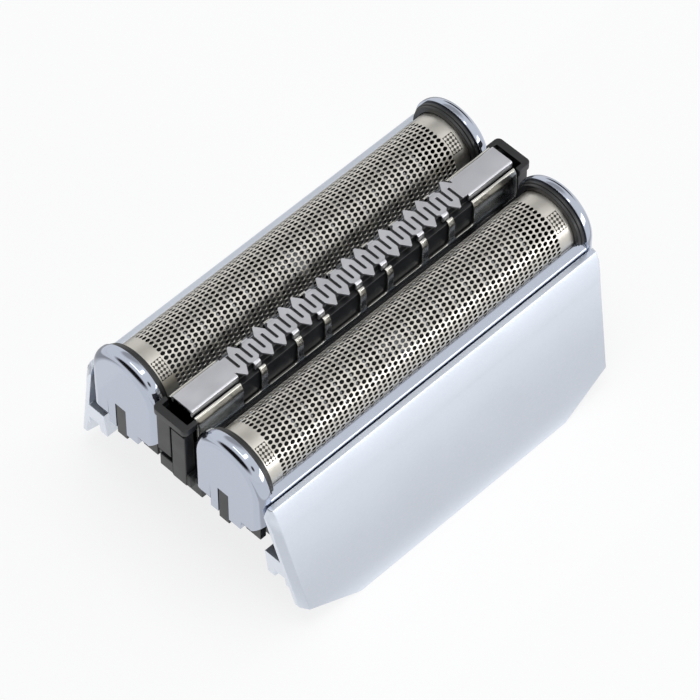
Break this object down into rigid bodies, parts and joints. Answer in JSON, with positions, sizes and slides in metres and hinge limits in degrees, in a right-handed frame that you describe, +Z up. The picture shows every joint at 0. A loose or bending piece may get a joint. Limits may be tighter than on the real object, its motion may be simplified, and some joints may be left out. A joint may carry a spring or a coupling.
{
  "type": "shaver foil head",
  "caption": "Foil head for an electric shaver: perforated foils over sliding cutters, a serpentine trimmer between them, all floating on springs in a silver-panelled cassette.",
  "frame": {"origin": "middle of the part, on the plane of the side panels' lower edges", "axes": "+X along the foils, -Y out of the front side panel, +Z up out of the foils"},
  "size_m": [0.0588, 0.0414, 0.0282],
  "materials": {
    "silver_plastic": "satin silver paint on plastic",
    "chrome_plating": "mirror chrome plating on plastic",
    "foil_nickel": "thin electroformed nickel",
    "black_plastic": "fine matte moulding",
    "blade_steel": "ground satin steel",
    "guard_steel": "dark pressed steel with bright edges",
    "grey_plastic": "slippery moulded plastic",
    "spring_steel": "bright spring steel"
  },
  "bodies": {
    "cassette": {"chassis": "black_plastic", "front_panel": "silver_plastic", "rear_panel": "silver_plastic", "front_float_spring_left": "spring_steel", "front_float_spring_right": "spring_steel", "rear_float_spring_left": "spring_steel", "rear_float_spring_right": "spring_steel", "trimmer_spring_left": "spring_steel", "trimmer_spring_right": "spring_steel"},
    "front_foil_cartridge": {"front_foil_frame": "chrome_plating", "front_foil_carrier": "black_plastic", "front_foil": "foil_nickel"},
    "front_cutter": {"front_cutter_base": "black_plastic", "front_cutter_blades": "blade_steel", "front_cutter_spring": "spring_steel"},
    "front_coupling": {"front_drive_coupling": "grey_plastic"},
    "rear_foil_cartridge": {"rear_foil_frame": "chrome_plating", "rear_foil_carrier": "black_plastic", "rear_foil": "foil_nickel"},
    "rear_cutter": {"rear_cutter_base": "black_plastic", "rear_cutter_blades": "blade_steel", "rear_cutter_spring": "spring_steel"},
    "rear_coupling": {"rear_drive_coupling": "grey_plastic"},
    "trimmer": {"trimmer_carrier": "black_plastic", "trimmer_guard": "guard_steel"},
    "trimmer_cutter": {"trimmer_blade": "blade_steel", "trimmer_slider": "black_plastic"}
  },
  "joints": [
    {"name": "front_foil_float", "type": "slide", "parent": "cassette", "child": "front_foil_cartridge", "axis": [0, 0, 1], "range_m": [-0.0015, 0], "stiffness_N_per_m": 250, "springref_m": 0.002, "deforming": ["front_float_spring_left", "front_float_spring_right"]},
    {"name": "front_cutter_slide", "type": "slide", "parent": "front_foil_cartridge", "child": "front_cutter", "axis": [1, 0, 0], "range_m": [-0.0012, 0.0012]},
    {"name": "front_coupling_lift", "type": "slide", "parent": "front_cutter", "child": "front_coupling", "axis": [0, 0, 1], "range_m": [0, 0.0015], "stiffness_N_per_m": 150, "springref_m": -0.002, "deforming": ["front_cutter_spring"]},
    {"name": "rear_foil_float", "type": "slide", "parent": "cassette", "child": "rear_foil_cartridge", "axis": [0, 0, 1], "range_m": [-0.0015, 0], "stiffness_N_per_m": 250, "springref_m": 0.002, "deforming": ["rear_float_spring_left", "rear_float_spring_right"]},
    {"name": "rear_cutter_slide", "type": "slide", "parent": "rear_foil_cartridge", "child": "rear_cutter", "axis": [1, 0, 0], "range_m": [-0.0012, 0.0012]},
    {"name": "rear_coupling_lift", "type": "slide", "parent": "rear_cutter", "child": "rear_coupling", "axis": [0, 0, 1], "range_m": [0, 0.0015], "stiffness_N_per_m": 150, "springref_m": -0.002, "deforming": ["rear_cutter_spring"]},
    {"name": "trimmer_float", "type": "slide", "parent": "cassette", "child": "trimmer", "axis": [0, 0, 1], "range_m": [-0.0012, 0], "stiffness_N_per_m": 250, "springref_m": 0.002, "deforming": ["trimmer_spring_left", "trimmer_spring_right"]},
    {"name": "trimmer_blade_slide", "type": "slide", "parent": "trimmer", "child": "trimmer_cutter", "axis": [1, 0, 0], "range_m": [-0.001, 0.001]}
  ]
}
